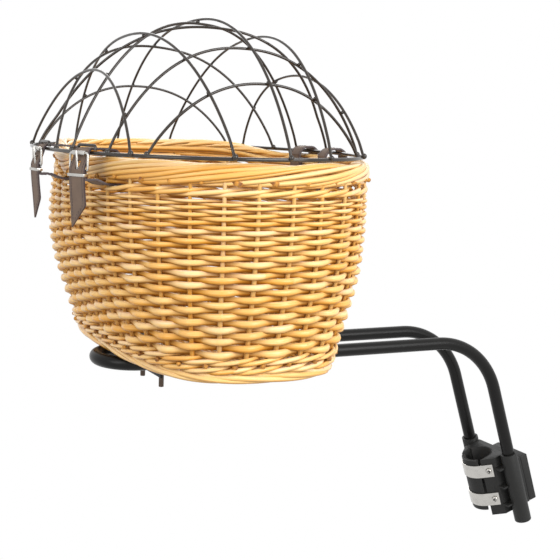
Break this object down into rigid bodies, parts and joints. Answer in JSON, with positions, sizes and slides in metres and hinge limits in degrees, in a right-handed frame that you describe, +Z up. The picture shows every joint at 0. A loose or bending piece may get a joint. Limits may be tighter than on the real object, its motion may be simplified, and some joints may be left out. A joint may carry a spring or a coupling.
{
  "type": "dog bicycle basket",
  "caption": "Oval wicker pet basket with a hinged wire dome lid and buckled leather straps, carried behind a bicycle's seat tube on a bent tube that slots into a clamped bracket.",
  "frame": {"origin": "on the seat tube's axis, midway between the two clamp bands", "axes": "+X towards the front of the bicycle, +Y to its left, +Z up; the seat tube leans back by 18 degrees"},
  "size_m": [0.712, 0.4883, 0.6494],
  "materials": {
    "willow": "varnished willow rods",
    "dark_wire": "dark brown-black enamel on wire",
    "black_tube": "glossy black powder coat",
    "black_plastic": "grained moulding, satin",
    "black_rubber": "matt",
    "plated_steel": "bright plating",
    "taupe_leather": "taupe-brown strap with dark edges"
  },
  "bodies": {
    "bracket": {"bracket_body": "black_plastic", "latch_cover": "black_plastic", "cover_screw_1": "plated_steel", "cover_screw_2": "plated_steel", "rear_clamp_shell": "black_plastic", "liner_front": "black_rubber", "liner_rear": "black_rubber", "clamp_band_upper": "plated_steel", "clamp_band_lower": "plated_steel", "clamp_screw_1": "plated_steel", "clamp_screw_2": "plated_steel", "clamp_screw_3": "plated_steel", "clamp_screw_4": "plated_steel", "lock_spring": "plated_steel"},
    "button": {"latch_button": "black_plastic"},
    "holder": {"bow": "black_tube", "cross_plate_front": "black_tube", "cross_plate_rear": "black_tube", "inner_plate_front": "plated_steel", "inner_plate_rear": "plated_steel", "plate_bolt_1": "plated_steel", "plate_bolt_2": "plated_steel", "plate_bolt_3": "plated_steel", "plate_bolt_4": "plated_steel", "plate_nut_1": "plated_steel", "plate_nut_2": "plated_steel", "plate_nut_3": "plated_steel", "plate_nut_4": "plated_steel", "basket_wall": "willow", "basket_border": "willow", "basket_foot": "willow", "basket_floor": "willow", "closure_strap_1": "taupe_leather", "closure_strap_2": "taupe_leather", "hinge_strap_1": "taupe_leather", "hinge_strap_2": "taupe_leather", "hinge_rivet_1": "plated_steel", "hinge_rivet_2": "plated_steel", "buckle_frame_1": "plated_steel", "buckle_frame_2": "plated_steel", "strap_keeper_1": "plated_steel", "strap_keeper_2": "plated_steel"},
    "dome": {"dome_ring": "dark_wire", "arch_across_1": "dark_wire", "arch_across_2": "dark_wire", "arch_across_3": "dark_wire", "arch_across_4": "dark_wire", "arch_across_5": "dark_wire", "arch_along_1": "dark_wire", "arch_along_2": "dark_wire", "arch_along_3": "dark_wire", "arch_along_4": "dark_wire", "arch_along_5": "dark_wire", "arch_along_6": "dark_wire", "strap_guide_1": "dark_wire", "strap_guide_2": "dark_wire"},
    "prong_1": {"buckle_prong_1": "plated_steel"},
    "prong_2": {"buckle_prong_2": "plated_steel"},
    "roller_1": {"buckle_roller_1": "plated_steel"},
    "roller_2": {"buckle_roller_2": "plated_steel"}
  },
  "joints": [
    {"name": "holder_lift", "type": "slide", "parent": "bracket", "child": "holder", "axis": [-0.309, 0, 0.9511], "range_m": [0, 0.09], "deforming": ["lock_spring"]},
    {"name": "button_press", "type": "slide", "parent": "bracket", "child": "button", "axis": [-0.9511, 0, -0.309], "range_m": [0, 0.004], "stiffness_N_per_m": 1500, "springref_m": -0.001, "deforming": ["lock_spring"]},
    {"name": "dome_hinge", "type": "hinge", "parent": "holder", "child": "dome", "pos_m": [-0.275, 0, 0.4448], "axis": [0, 1, 0], "range_deg": [0, 110], "deforming": ["closure_strap_1", "closure_strap_2", "hinge_strap_1", "hinge_strap_2"]},
    {"name": "prong_1_swing", "type": "hinge", "parent": "holder", "child": "prong_1", "pos_m": [-0.62473, -0.10931, 0.4268], "axis": [0.434, -0.9009, 0], "range_deg": [0, 75], "deforming": ["closure_strap_1"]},
    {"name": "prong_2_swing", "type": "hinge", "parent": "holder", "child": "prong_2", "pos_m": [-0.63835, -0.00065, 0.4268], "axis": [0.0698, -0.9976, 0], "range_deg": [0, 75], "deforming": ["closure_strap_2"]},
    {"name": "roller_1_spin", "type": "hinge", "parent": "holder", "child": "roller_1", "pos_m": [-0.62473, -0.10931, 0.4448], "axis": [0.434, -0.9009, 0], "continuous": true},
    {"name": "roller_2_spin", "type": "hinge", "parent": "holder", "child": "roller_2", "pos_m": [-0.63835, -0.00065, 0.4448], "axis": [0.0698, -0.9976, 0], "continuous": true}
  ]
}
